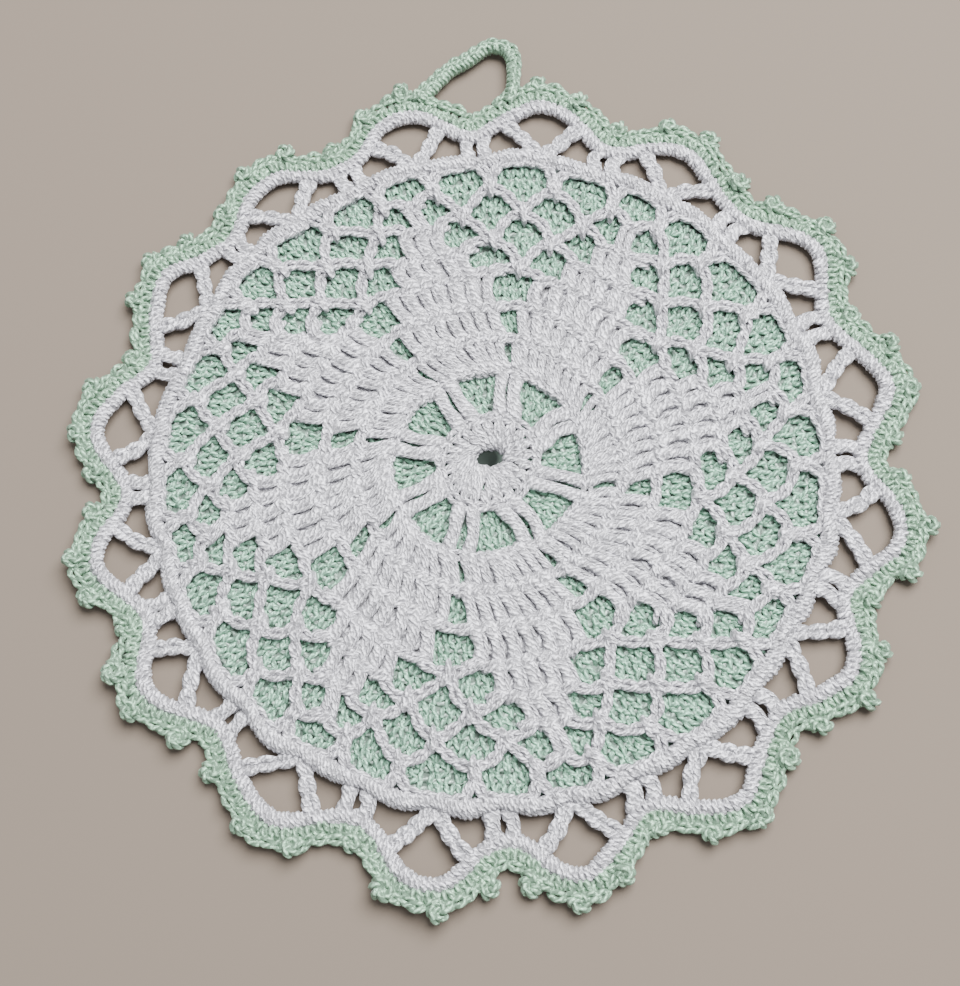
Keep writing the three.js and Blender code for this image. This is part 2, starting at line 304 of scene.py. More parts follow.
def on_flower(angle, radius):
    """Polar points moved by two drifts: that of the flower's middle fades out evenly at the rim, and that
    of the net is a cosine bell over the radius."""
    radius = np.asarray(radius, float)
    middle = 1.0 - radius / LAYER_RADIUS
    net = cosine_bell(np.clip((radius - NET_DRIFT_RADIUS) / NET_DRIFT_REACH, -1.0, 1.0))
    return polar(angle, radius) + CENTRE_DRIFT * middle[..., None] + NET_DRIFT * net[..., None]


def petal_axis(petal, radius):
    """Angle of a petal's axis: even spacing, the petal's own shift, a swirl near the middle and a slow
    twist the other way towards the rim."""
    depth = (SWIRL_FROM_RADIUS - radius) / (SWIRL_FROM_RADIUS - SWIRL_FULL_RADIUS)
    swirl = SWIRL * np.maximum(0.0, depth)
    outwards = smoothstep(radius, TWIST_FROM_RADIUS, LAYER_RADIUS)
    twist = TWIST_INSIDE + (TWIST_AT_RIM - TWIST_INSIDE) * outwards
    return FIRST_PETAL + SECTOR * petal + PETAL_SHIFT[petal % PETAL_COUNT] + swirl + twist


def in_sector(petal, across, radius):
    """Point of the flower: `across` runs from 0 at one petal's axis to 45 at the next one's."""
    petal, across, radius = np.broadcast_arrays(petal, across, np.asarray(radius, float))
    step = np.floor(across / SECTOR).astype(int)
    start = petal_axis(petal + step, radius)
    end = petal_axis(petal + step + 1, radius)
    share = across / SECTOR - step
    return on_flower(start + share * (end - start), radius)


def loop_feet(row):
    """Angles of a net row's feet: the petals' edges, and the tops of the loops below."""
    half = PETAL_ROWS[row].half
    between = loop_tops(row - 1) if row > FIRST_NET_ROW + 1 else []
    return [half, *between, SECTOR - half]


def loop_tops(row):
    """Angles of a net row's loop tops, midway between its feet."""
    feet = loop_feet(row)
    return [(left + right) / 2 for left, right in zip(feet, feet[1:])]


# Points on the border, by scallop number and t, which runs from -1 in a valley over 0 to 1 in the next
def all_scallops(steps):
    """Scallop numbers and t of as many even steps on each scallop, once round the border."""
    scallop = np.repeat(np.arange(SCALLOP_COUNT), steps)
    t = np.tile(np.linspace(-1.0, 1.0, steps, endpoint=False), SCALLOP_COUNT)
    return scallop, t


def scallop_angle(scallop):
    """Angle of a scallop's tip: even spacing and the scallop's own shift."""
    return SCALLOP_PITCH * (scallop + 0.5) + SCALLOP_SHIFT[scallop % SCALLOP_COUNT]


def along_scallop(scallop, t):
    """Angle on a scallop: from its tip towards the midpoint between it and its neighbour."""
    middle = scallop_angle(scallop)
    neighbour = scallop_angle(scallop + np.sign(t).astype(int))
    return middle + np.abs(t) * (neighbour - middle) / 2


def border_rise(scallop, t, radius):
    """Height of the border: the scallop's lift, growing outwards and towards its tip."""
    lift = SCALLOP_LIFT[scallop % SCALLOP_COUNT]
    return lift * smoothstep(radius, RUFFLE_FROM_RADIUS, RUFFLE_FULL_RADIUS) * cosine_bell(t)


def on_border(scallop, t, radius, height=BORDER_MIDDLE):
    """Points on the border at a radius, with the ruffle's height."""
    scallop, t, radius = np.broadcast_arrays(scallop, np.asarray(t, float), np.asarray(radius, float))
    points = polar(along_scallop(scallop, t), radius)
    return raised(points, height + border_rise(scallop, t, radius))


def cord_line():
    """Closed middle line of the scallop cord: its radius is that of the valleys plus a cosine bell up to
    each tip's reach."""
    scallop, t = all_scallops(steps=24)
    tip = CORD_TIP_RADIUS + SCALLOP_REACH[scallop]
    return on_border(scallop, t, CORD_VALLEY_RADIUS + (tip - CORD_VALLEY_RADIUS) * cosine_bell(t))


# Paths
def unit(vectors):
    """Vectors divided by their lengths."""
    return vectors / np.linalg.norm(vectors, axis=-1, keepdims=True)


def spline(points, count, closed=False):
    """Catmull-Rom curve through points: each span is a cubic of its two ends and their neighbours."""
    spans = points.shape[-2] if closed else points.shape[-2] - 1
    place = np.linspace(0.0, spans, count, endpoint=not closed)
    index = np.minimum(place.astype(int), spans - 1)
    t = (place - index)[:, None]

    def pick(step):
        found = (index + step) % spans if closed else np.clip(index + step, 0, spans)
        return np.take(points, found, axis=-2)

    before, start, end, after = (pick(step) for step in (-1, 0, 1, 2))
    slope = end - before
    bend = 2 * before - 5 * start + 4 * end - after
    twist = 3 * start - 3 * end + after - before
    return start + 0.5 * (slope * t + bend * t**2 + twist * t**3)


def on_route(places, run, route):
    """Points of a polyline at places of its running measure, shared evenly between its own points."""
    return np.stack([np.interp(places, run, route[:, axis]) for axis in range(3)], axis=-1)


def stations(route, pitch, closed=False):
    """Middles of equal steps along a polyline, near the wanted pitch, by its running length: points, unit
    directions, and the step."""
    if closed:
        route = np.concatenate([route, route[:1]])
    lengths = np.linalg.norm(np.diff(route, axis=0), axis=1)
    run = np.concatenate([[0.0], np.cumsum(lengths)])
    count = max(1, round(run[-1] / pitch))
    step = run[-1] / count
    starts = np.arange(count) * step
    along = unit(on_route(starts + step, run, route) - on_route(starts, run, route))
    return on_route(starts + step / 2, run, route), along, step


def sideways(along):
    """Horizontal unit vectors to the right of directions, seen from above."""
    return unit(np.cross(along, UP))


def offset_line(line, distance, closed=True):
    """Line moved to its left by a distance, square to its direction in the plane: outwards where it runs
    clockwise."""
    if closed:
        along = np.roll(line, -1, axis=0) - np.roll(line, 1, axis=0)
    else:
        along = np.gradient(line, axis=0)
    return line - sideways(along) * distance


def lay(stitch, origin, across, along, up=UP):
    """Stitch paths: each origin plus the stitch's points times its across, along and up vectors."""
    up = np.broadcast_to(up, origin.shape)
    basis = np.stack([across, along, up], axis=1)
    return origin[:, None, :] + np.einsum("pc,ncx->npx", stitch, basis)


# Uneven hand: slow sideways waves through the work, with their reach, length, course and start
HAND_WAVES = (
    (0.45, 47.0, 20.0, 40.0),
    (0.40, 29.0, 95.0, 200.0),
    (0.32, 17.0, 150.0, 310.0),
    (0.24, 10.5, 55.0, 120.0),
)

# Random spread of single stitches: in millimetres, shares of a size, or leans
HAND_SPREAD = np.array([1.0, 1.0, 0.3])
SIZE_SPREAD = 0.07
LEAN_SPREAD = 0.12
POST_SPREAD = 0.14
TOP_SPREAD = 0.16
WRAP_SPREAD = 0.05


def by_hand(points):
    """Points as an uneven hand leaves them: each wave moves them square to its course, by its reach times
    the sine of the distance along its course."""
    moved = np.array(points, float)
    for reach, length, course, start in HAND_WAVES:
        turns = points[..., :2] @ polar(course, 1.0) / length + start / 360.0
        shift = reach * np.sin(2 * np.pi * turns)
        moved[..., :2] += shift[..., None] * polar(course + 90.0, 1.0)
    return moved


def jitter(rng, points, amount):
    """Points moved by a random amount, less in height, as a hand makes no two stitches alike."""
    return points + rng.normal(0.0, amount, points.shape) * HAND_SPREAD


# Yarn meshes
class Yarn(NamedTuple):
    """Strand surface: vertices, quads with their UV corners, and end caps."""

    vertices: np.ndarray
    quads: np.ndarray
    corners: np.ndarray
    caps: np.ndarray


UPRIGHT = 0.9


def carried_normals(tangent):
    """Unit vectors across each path, carried from its start with the least turning: at each step the
    part along the new tangent is taken away. They begin near up, or near X where a path starts upright."""
    upright = np.abs(tangent[:, :1, 2:]) > UPRIGHT
    side = np.where(upright, np.array([1.0, 0.0, 0.0]), UP)[:, 0]
    normals = np.empty_like(tangent)
    for step in range(tangent.shape[1]):
        direction = tangent[:, step]
        side = unit(side - np.sum(side * direction, axis=1, keepdims=True) * direction)
        normals[:, step] = side
    return normals


def grid_quads(number, across, along):
    """Quads of a grid of vertex numbers that closes along two axes: each number, its neighbour across,
    and the two after them."""
    beside = np.roll(number, -1, axis=across)
    ahead = np.roll(number, -1, axis=along)
    return np.stack([number, beside, np.roll(beside, -1, axis=along), ahead], axis=-1)


def sweep(paths, radius, sides=6, closed=False, half_width=None, turns=1.0):
    """Yarn surface along many paths at once: each path point plus the radius times the cosine and the
    half width times the sine of the angle round the strand, on two unit vectors across the path.
    UV: turns round, millimetres along."""
    strands, length = paths.shape[:2]
    paths = by_hand(paths)
    side = np.broadcast_to(radius if half_width is None else half_width, (strands, length))
    if closed:
        ahead = np.roll(paths, -1, axis=1)
        tangent = unit(ahead - np.roll(paths, 1, axis=1))
    else:
        ahead = np.concatenate([paths[:, 1:], paths[:, -1:]], axis=1)
        tangent = unit(np.gradient(paths, axis=1))
    normal = carried_normals(tangent)
    across = np.cross(tangent, normal)
    turn = 2 * np.pi * np.arange(sides) / sides
    upper = radius * np.cos(turn)[:, None] * normal[:, :, None]
    outer = side[:, :, None, None] * np.sin(turn)[:, None] * across[:, :, None]
    vertices = paths[:, :, None] + upper + outer

    number = np.arange(strands * length * sides).reshape(strands, length, sides)
    quads = grid_quads(number, across=2, along=1)
    run = np.cumsum(np.linalg.norm(ahead - paths, axis=-1), axis=1)
    start = np.concatenate([np.zeros((strands, 1)), run[:, :-1]], axis=1)
    u = np.broadcast_to(turns * np.arange(sides) / sides, (strands, length, sides))
    low = np.broadcast_to(start[:, :, None], u.shape)
    high = np.broadcast_to(run[:, :, None], u.shape)
    u_beside = u + turns / sides
    corners = np.stack([u, low, u_beside, low, u_beside, high, u, high], axis=-1)
    caps = np.zeros((0, sides), int)
    if not closed:
        quads = quads[:, :-1]
        corners = corners[:, :-1]
        caps = np.concatenate([number[:, 0, ::-1], number[:, -1]])
    return Yarn(vertices.reshape(-1, 3), quads.reshape(-1, 4), corners.reshape(-1, 4, 2), caps)


def yarn_mesh(name, parts):
    """One mesh of several yarn surfaces, in metres, with smooth faces and the strands' UV map."""
    starts = np.cumsum([0] + [len(part.vertices) for part in parts])[:-1]
    vertices = np.concatenate([part.vertices for part in parts]) * MM
    loops = [(part.quads + start).ravel() for part, start in zip(parts, starts)]
    sizes = [np.full(len(part.quads), 4) for part in parts]
    uvs = [part.corners.reshape(-1, 2) for part in parts]
    for part, start in zip(parts, starts):
        loops.append((part.caps + start).ravel())
        sizes.append(np.full(len(part.caps), part.caps.shape[1]))
        uvs.append(np.zeros((part.caps.size, 2)))
    loops = np.concatenate(loops)
    sizes = np.concatenate(sizes)
    mesh = bpy.data.meshes.new(name)
    mesh.vertices.add(len(vertices))
    mesh.vertices.foreach_set("co", vertices.astype(np.float32).ravel())
    mesh.loops.add(len(loops))
    mesh.loops.foreach_set("vertex_index", loops.astype(np.int32))
    mesh.polygons.add(len(sizes))
    mesh.polygons.foreach_set("loop_start", (np.cumsum(sizes) - sizes).astype(np.int32))
    mesh.polygons.foreach_set("use_smooth", np.ones(len(sizes), bool))
    layer = mesh.uv_layers.new(name="yarn")
    layer.uv.foreach_set("vector", np.concatenate(uvs).astype(np.float32).ravel())
    mesh.update(calc_edges=True)
    return mesh


def add_to_scene(name, data):
    """A new object in the scene, at the origin."""
    thing = bpy.data.objects.new(name, data)
    bpy.context.scene.collection.objects.link(thing)
    return thing


def add_piece(name, parts, node, material):
    """Puts yarn surfaces into the scene as a piece with its material, hangs it on the root body and hides
    the solid it stands for.
    """
    mesh = yarn_mesh(name, parts)
    mesh.materials.append(material)
    piece = add_to_scene(name, mesh)
    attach(piece, "root")
    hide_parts(node)


# Stitch groups
def chain_yarn(routes, rng, chain, closed=False):
    """Chain links along routes: equal steps, each with the link stitch stretched to the step and moved
    at random by the chain's spread."""
    link = spline(CHAIN_LINK, count=12, closed=True) - np.array([0.0, LINK_LENGTH / 2, 0.0])
    paths = []
    for route in routes:
        points, along, step = stations(route, chain.pitch, closed)
        scale = rng.normal(chain.width / LINK_WIDTH, SIZE_SPREAD, (len(points), 1))
        origin = jitter(rng, points, chain.spread)
        paths.append(lay(link, origin, sideways(along) * scale, along * (step / LINK_LENGTH)))
    return sweep(np.concatenate(paths), chain.radius, closed=True)


def core_yarn(routes, radius, drop):
    """A hidden strand along each route, `drop` below it, that fills the chain from behind."""
    return sweep(spline(np.stack(routes), count=10) - UP * drop, radius, sides=5)


def post_yarn(bottom, top, rng, width, fill=0.31):
    """Posts from bottom to top points, `width` across: a flat body, whose half width is the width times
    the sum of the fill and the flare, and a fine strand beside it. Both are moved sideways by the bow
    times 4 s (1 - s), with s the share of the height."""
    bottom = jitter(rng, bottom, POST_SPREAD)
    along = jitter(rng, top, POST_SPREAD) - bottom
    width = width * rng.normal(1.0, SIZE_SPREAD, len(bottom))
    across = sideways(along) * width[:, None]
    bow = across * rng.normal(-POST_BOW, POST_BOW_SPREAD, (len(bottom), 1))
    strands = []
    for stitch, steps in ((POST_BODY, BODY_STEPS), (POST_SIDE, SIDE_STEPS)):
        points = spline(stitch, steps)
        hump = np.maximum(0.0, 4 * points[:, 1] * (1.0 - points[:, 1]))
        strands.append(lay(points, bottom, across, along) + bow[:, None] * hump[:, None])
    body, side = strands
    half_width = width[:, None] * (fill + BODY_FLARE)
    body = sweep(body, radius=0.68, sides=8, half_width=half_width, turns=1.3)
    return [body, sweep(side, radius=0.43, sides=5)]


def top_yarn(origin, across, along, rng):
    """Tops of posts at the origins: a front and a back strand each, on across and along vectors."""
    origin = jitter(rng, origin, TOP_SPREAD)
    slant = rng.normal(0.0, LEAN_SPREAD, (len(origin), 1))
    across, along = across - along * slant, along + across * slant
    strands = [lay(spline(strand, count=8), origin, across, along) for strand in (TOP_FRONT, TOP_BACK)]
    return [sweep(strand, radius=0.64) for strand in strands]


def plain_yarn(origin, across, along, radius, rise=1.0):
    """Plain stitches at the origins, on their across and along vectors and `rise` times as high."""
    return sweep(lay(PLAIN_STITCH, origin, across, along, UP * rise), radius, sides=5)


def wrapped_cord(routes, rng, wrap, closed=False, girth=(1.0,)):
    """Turns of yarn along routes: closed ovals, the half width times a cosine across each route and the
    half height times a sine up. They lean along it by the slant times a sine that runs ahead by the lead,
    and are as many times as broad as the girth, whose values are spread evenly along the route."""
    turn = 2 * np.pi * np.arange(WRAP_STEPS) / WRAP_STEPS
    oval = np.stack([np.cos(turn), np.sin(turn + WRAP_LEAD), np.sin(turn)], axis=-1)
    paths = []
    for route in routes:
        points, along, _ = stations(route, wrap.pitch, closed)
        size = rng.normal(1.0, WRAP_SPREAD, (len(points), 1))
        lean = rng.normal(wrap.slant, LEAN_SPREAD, size.shape)
        share = np.linspace(0.0, 1.0, len(size))
        here = np.interp(share, np.linspace(0.0, 1.0, len(girth)), girth)
        across = sideways(along) * wrap.half_width * size * here[:, None]
        origin = jitter(rng, points, WRAP_SPREAD)
        paths.append(lay(oval, origin, across, along * lean, UP * wrap.half_height * size))
    return sweep(np.concatenate(paths), wrap.radius, sides=5, closed=True)


# Settings
class YarnSettings(bpy.types.PropertyGroup):
    """Yarn of the whole pad."""

    white: FloatVectorProperty(
        name="White", description="Colour of the lace yarn", default=(0.4, 0.395, 0.421), subtype="COLOR"
    )
    mint: FloatVectorProperty(
        name="Mint", description="Colour of the edging and loop yarn", default=(0.172, 0.272, 0.192),
        subtype="COLOR",
    )
    # The back's colour is cooler than the edging's and painted lighter, which makes up for the shade that
    # the lace casts on it
    back: FloatVectorProperty(
        name="Back", description="Colour of the back yarn", default=(0.197, 0.34, 0.255), subtype="COLOR"
    )
    seed: IntProperty(name="Seed", description="Start of the uneven hand of the stitches", default=7)


class StageSettings(bpy.types.PropertyGroup):
    """Floor, light and camera."""

    floor: FloatVectorProperty(
        name="Floor", description="Colour of the floor", default=(0.152, 0.122, 0.096), subtype="COLOR"
    )
    azimuth: FloatProperty(
        name="Azimuth", description="Turn of the camera round the pad", default=math.radians(12.14),
        subtype="ANGLE",
    )
    elevation: FloatProperty(
        name="Elevation", description="Height of the camera over the table", default=math.radians(74.02),
        subtype="ANGLE",
    )
    roll: FloatProperty(
        name="Roll", description="Turn of the camera about its view", default=math.radians(-14.57),
        subtype="ANGLE",
    )
    distance: FloatProperty(
        name="Distance", description="Camera to the point looked at", default=294.3 * MM, unit="LENGTH"
    )
    lens: FloatProperty(
        name="Lens", description="Focal length on a 36 mm sensor", default=54.39, unit="CAMERA"
    )
    target: FloatVectorProperty(
        name="Target", description="Point of the table looked at", default=(-2.07 * MM, -5.05 * MM, 0.0),
        subtype="TRANSLATION",
    )
    key_power: FloatProperty(
        name="Key power", description="Power of the main light", default=42.5, unit="POWER"
    )
    sky: FloatProperty(name="Sky", description="Strength of the light from all round", default=0.65)


class HotPadSettings(bpy.types.PropertyGroup):
    """All settings of the hot pad."""

    yarn: PointerProperty(type=YarnSettings)
    stage: PointerProperty(type=StageSettings)


def yarn_settings():
    """Yarn settings of the current scene."""
    return bpy.context.scene.hot_pad.yarn


def fresh_rng(offset):
    """Random numbers of one piece, the same at each run."""
    return np.random.default_rng(yarn_settings().seed + offset)


# Materials
class YarnFinish(NamedTuple):
    """Finish of a yarn: plies round a strand, yarn length from ply to ply in millimetres, unevenness of
    the plies, brightness of the ground, a painted shade, and of the crests, a painted highlight, relief
    of the plies and of the lumps of the stitch, fibre ends in a millimetre, roughness and sheen."""

    plies: float
    pitch: float
    uneven: float
    dark: float
    light: float
    ridge: float
    lumps: float
    ends: float
    roughness: float
    sheen: float


WHITE_FINISH = YarnFinish(
    plies=3.0, pitch=1.2, uneven=1.3, dark=0.72, light=2.14, ridge=0.7, lumps=1.8, ends=2.2,
    roughness=0.32, sheen=0.2,
)
MINT_FINISH = YarnFinish(
    plies=2.0, pitch=1.5, uneven=0.7, dark=0.73, light=2.05, ridge=0.62, lumps=0.95, ends=0.8,
    roughness=0.24, sheen=0.15,
)
FIBRES_IN_PLY = 4.0


def new_material(name):
    """A new material, its node tree and its shader."""
    material = bpy.data.materials.new(name)
    material.use_nodes = True
    return material, material.node_tree, material.node_tree.nodes["Principled BSDF"]


def link_math(tree, operation, first, second=None):
    """A Math node; each input is a socket or a number."""
    node = tree.nodes.new("ShaderNodeMath")
    node.operation = operation
    for socket, value in zip(node.inputs, (first, second)):
        if isinstance(value, bpy.types.NodeSocket):
            tree.links.new(value, socket)
        elif value is not None:
            socket.default_value = value
    return node.outputs[0]


def link_sum(tree, first, second, factor=1.0):
    """The first socket plus the second one times a factor."""
    return link_math(tree, "ADD", first, link_math(tree, "MULTIPLY", second, factor))


def link_noise(tree, vector, scale, detail=1.0):
    """Grey noise of a vector socket."""
    node = tree.nodes.new("ShaderNodeTexNoise")
    node.inputs["Scale"].default_value = scale
    node.inputs["Detail"].default_value = detail
    tree.links.new(vector, node.inputs["Vector"])
    return node.outputs["Fac"]


def link_ramp(tree, share, low, high, start):
    """Colour of a share: low up to the start, then evenly on to high at 1."""
    node = tree.nodes.new("ShaderNodeValToRGB")
    for element, position, colour in zip(node.color_ramp.elements, (start, 1.0), (low, high)):
        element.position = position
        element.color = (*colour, 1.0)
    tree.links.new(share, node.inputs["Fac"])
    return node.outputs["Color"]


def yarn_material(name, colour, finish):
    """Twisted yarn: the plies are ridges sin(pi (plies u + v / pitch + noise)) squared of the strand's UV
    map, with fine fibres along them, on lumps of a noise. Its colour holds painted light: where a ply
    crosses a lump its crest is lighter, a painted highlight, and the grooves and hollows are darker, a
    painted shade."""
    found = bpy.data.materials.get(name)
    if found:
        return found
    material, tree, shader = new_material(name)
    shader.inputs["Roughness"].default_value = finish.roughness
    shader.inputs["Sheen Weight"].default_value = finish.sheen
    shader.inputs["Sheen Roughness"].default_value = 0.4
    shader.inputs["Specular IOR Level"].default_value = 1.0
    shader.inputs["Specular Tint"].default_value = (*(colour / colour.max()), 1.0)

    place = tree.nodes.new("ShaderNodeTexCoord").outputs["Object"]
    strand = tree.nodes.new("ShaderNodeUVMap")
    strand.uv_map = "yarn"
    split = tree.nodes.new("ShaderNodeSeparateXYZ")
    tree.links.new(strand.outputs["UV"], split.inputs[0])
    turns = link_math(tree, "MULTIPLY", split.outputs["X"], finish.plies)
    run = link_math(tree, "DIVIDE", split.outputs["Y"], finish.pitch)
    phase = link_math(tree, "ADD", turns, run)
    phase = link_sum(tree, phase, link_noise(tree, place, scale=1100.0), finish.uneven)
    wave = link_math(tree, "SINE", link_math(tree, "MULTIPLY", phase, math.pi))
    ply = link_math(tree, "MULTIPLY", wave, wave)

    stretch = tree.nodes.new("ShaderNodeCombineXYZ")
    tree.links.new(link_math(tree, "MULTIPLY", phase, FIBRES_IN_PLY), stretch.inputs[0])
    tree.links.new(link_math(tree, "MULTIPLY", split.outputs["Y"], finish.ends), stretch.inputs[1])
    fibre = link_noise(tree, stretch.outputs[0], scale=1.0, detail=3.0)

    lump = link_noise(tree, place, scale=900.0)
    height = link_math(tree, "MULTIPLY", ply, finish.ridge)
    height = link_sum(tree, height, fibre, factor=0.3)
    height = link_sum(tree, height, lump, finish.lumps)
    bump = tree.nodes.new("ShaderNodeBump")
    bump.inputs["Strength"].default_value = 0.9
    bump.inputs["Distance"].default_value = 0.34 * MM
    tree.links.new(height, bump.inputs["Height"])
    tree.links.new(bump.outputs["Normal"], shader.inputs["Normal"])

    # Painted highlights and shade: the colour runs from the dark ground to the light crests as the lumps
    # and the ply crests rise
    shade = link_sum(tree, lump, ply, factor=0.4)
    colours = link_ramp(tree, shade, colour * finish.dark, colour * finish.light, start=0.64)
    tree.links.new(colours, shader.inputs["Base Color"])
    return material


def white_yarn():
    """Cool white cotton with a soft sheen."""
    return yarn_material("white cotton yarn", np.array(yarn_settings().white), WHITE_FINISH)


def mint_yarn():
    """Mint green silky yarn, with painted highlights on its plies."""
    return yarn_material("mint silky yarn", np.array(yarn_settings().mint), MINT_FINISH)


def back_yarn():
    """The silky yarn of the back, a cooler mint, painted lighter than the edging's to make up for the
    shade of the lace.
    """
    return yarn_material("mint back yarn", np.array(yarn_settings().back), MINT_FINISH)


# Painted shade: how much darker the yarn behind the stitches is, and the painted shadow in the flower's
# hole with the distance it reaches from there
PAINTED_INNER_SHADE = 0.95
HOLE_PAINTED_SHADOW = 0.1
HOLE_REACH = 4.6


def painted_shade_mint():
    """Painted shade of the yarn inside the back: the back's own colour, halfway to a grey of its
    brightness.
    """
    colour = np.array(yarn_settings().back)
    return (colour + colour.mean()) / 2


def shaded_core_mint_yarn():
    """The back's yarn behind its stitches, in painted shade: darker and greyer than in the light."""
    return yarn_material("mint yarn behind in painted shade", painted_shade_mint() * PAINTED_INNER_SHADE, MINT_FINISH)


def painted_shadow_mint_yarn():
    """The back's yarn deep inside it, in painted shade from the stitches round it: by the distance from
    the middle of the flower's hole it goes from nearly black, a painted shadow in the hole, to the painted
    shade of the yarn inside the back."""
    material, tree, shader = new_material("mint yarn in painted shadow")
    shader.inputs["Roughness"].default_value = 1.0
    shader.inputs["Specular IOR Level"].default_value = 0.1
    place = tree.nodes.new("ShaderNodeTexCoord")
    away = tree.nodes.new("ShaderNodeVectorMath")
    away.operation = "DISTANCE"
    away.inputs[1].default_value = raised(CENTRE_DRIFT + HOLE_SHIFT, BACK_MIDDLE) * MM
    tree.links.new(place.outputs["Object"], away.inputs[0])
    share = link_math(tree, "DIVIDE", away.outputs["Value"], HOLE_REACH * MM)
    colours = link_ramp(tree, share, painted_shade_mint() * HOLE_PAINTED_SHADOW, painted_shade_mint() * PAINTED_INNER_SHADE, start=0.4)
    tree.links.new(colours, shader.inputs["Base Color"])
    return material


# Back
class HOTPAD_OT_back(bpy.types.Operator):
    """Plain mint back: concentric rounds of plain stitches on a thin ground"""

    bl_idname = "hot_pad.back"
    bl_label = "Plain back"

    def execute(self, context):
        # The ground is coloured with painted shade and a painted shadow in the flower's hole
        add_piece("back_ground", back_ground(), "back_disc", painted_shadow_mint_yarn())
        add_piece("back_rounds", back_rounds(), "back_disc", back_yarn())
        # The cores are coloured with painted shade
        add_piece("back_cores", back_cores(), "back_disc", shaded_core_mint_yarn())
        add_piece("back_underside", back_underside(), "back_disc", back_yarn())
        return {"FINISHED"}


GROUND_THICKNESS = 0.5
GROUND_HOLE = 0.01
BACK_START = 5.0
BACK_MARGIN = 0.9
BACK_RADII = np.arange(BACK_START, LAYER_RADIUS - BACK_MARGIN, PLAIN_HEIGHT)
ROUND_REACH = 1.2
ROUND_RISE = 0.45
BACK_CORE_REACH = 1.5
BACK_CORE_RISE = 0.35
UNDER_HEIGHT = 0.68

# Flat circles that close the start of the back from below
START_RADII = np.arange(0.5, BACK_START + 0.6, 0.8)
START_HEIGHT = 0.56


def back_ground():
    """Thin round ground behind the stitches, coloured with painted shade: a closed section carried round
    the axis, radius and height of its corners turned through equal angles."""
    low = BACK_MIDDLE - GROUND_THICKNESS / 2
    high = BACK_MIDDLE + GROUND_THICKNESS / 2
    radius = np.array([GROUND_HOLE, LAYER_RADIUS, LAYER_RADIUS, GROUND_HOLE])
    grid = raised(polar(full_turn(count=96)[:, None], radius), [low, low, high, high])
    number = np.arange(grid.size // 3).reshape(grid.shape[:2])
    quads = grid_quads(number, across=0, along=1).reshape(-1, 4)
    return [Yarn(grid.reshape(-1, 3), quads, np.zeros((len(quads), 4, 2)), np.zeros((0, 4), int))]


def round_frames(rng, beyond, height, spread, sway):
    """Origin, across and outward vectors of every stitch of the back: as many as fit each round, from a
    random start, moved at random by the spread and turned by the sway."""
    length = 2 * np.pi * (BACK_RADII + ROUND_REACH)
    counts = np.round(length / PLAIN_WIDTH).astype(int)
    angle = np.concatenate([full_turn(count, rng.random()) for count in counts])
    width = np.repeat(length / counts / PLAIN_WIDTH, counts)
    origin = jitter(rng, raised(polar(angle, np.repeat(BACK_RADII + beyond, counts)), height), spread)
    outward = heading(angle + rng.normal(0.0, sway, angle.shape))
    return origin, np.cross(outward, UP) * width[:, None], outward


def back_rounds():
    """Rounds of plain stitches with their legs opening outwards."""
    frames = round_frames(fresh_rng(1), 0.0, BACK_MIDDLE + ROUND_RISE, spread=0.21, sway=18.0)
    return [plain_yarn(*frames, radius=0.53, rise=1.4)]


def back_cores():
    """A strand along each round of the back, behind its stitches: circles between the rounds."""
    circles = polar(full_turn(count=120), BACK_RADII[:, None] + BACK_CORE_REACH)
    return [sweep(raised(circles, BACK_MIDDLE + BACK_CORE_RISE), radius=0.6, sides=5, closed=True)]


def back_underside():
    """A bump under every stitch of the back, along its round, and small circles where they start."""
    frames = round_frames(fresh_rng(12), ROUND_REACH, UNDER_HEIGHT, spread=0.1, sway=6.0)
    bumps = sweep(lay(UNDER_BUMP, *frames), radius=0.44, sides=5)
    circles = raised(polar(full_turn(count=40), START_RADII[:, None]), START_HEIGHT)
    return [bumps, sweep(circles, radius=0.44, closed=True, half_width=0.6)]


# Flower
class HOTPAD_OT_flower(bpy.types.Operator):
    """White flower: its heart, its spokes and the rows of posts of its eight petals"""

    bl_idname = "hot_pad.flower"
    bl_label = "Flower"

    def execute(self, context):
        add_piece("flower_heart", flower_heart(), "front_lace", white_yarn())
        add_piece("petal_posts", petal_posts(), "front_lace", white_yarn())
        add_piece("petal_rows", petal_rows(), "front_lace", white_yarn())
        return {"FINISHED"}


# Heart: its hole, the rays round it, a round of plain stitches and a chain
HOLE_RADIUS = 2.8
HOLE_OVAL = 0.6
HOLE_DIP = 1.3
HEART_RAYS = 22
RAY_TURN = 7.0
RAY_END = 6.9
HEART_ROUND = 6.5
HEART_ROUND_TURN = 9.0
HEART_CHAIN_RADIUS = 9.3

# Spokes, and posts of the petals, by radius and by angle off the spoke's middle
SPOKE_FOOT = 9.2
SPOKE_FOOT_ANGLE = 8.3
SPOKE_HEAD = WEDGE_OUTER + 0.6
SPOKE_HEAD_ANGLE = 5.0
SPOKE_RING = WEDGE_OUTER + 0.9
FIRST_FOOT = WEDGE_OUTER + 0.2
POST_LEAN = 0.7
POST_GRIP = 1.1
POST_SHORT = 0.3
POST_WIDTHS = (1.7, 3.4)
BACKING_MARGIN = 0.9


def flower_ring(radius, steps=72):
    """Closed circle about the flower's middle, in the lace's middle plane."""
    return on_lace(on_flower(full_turn(steps), radius))


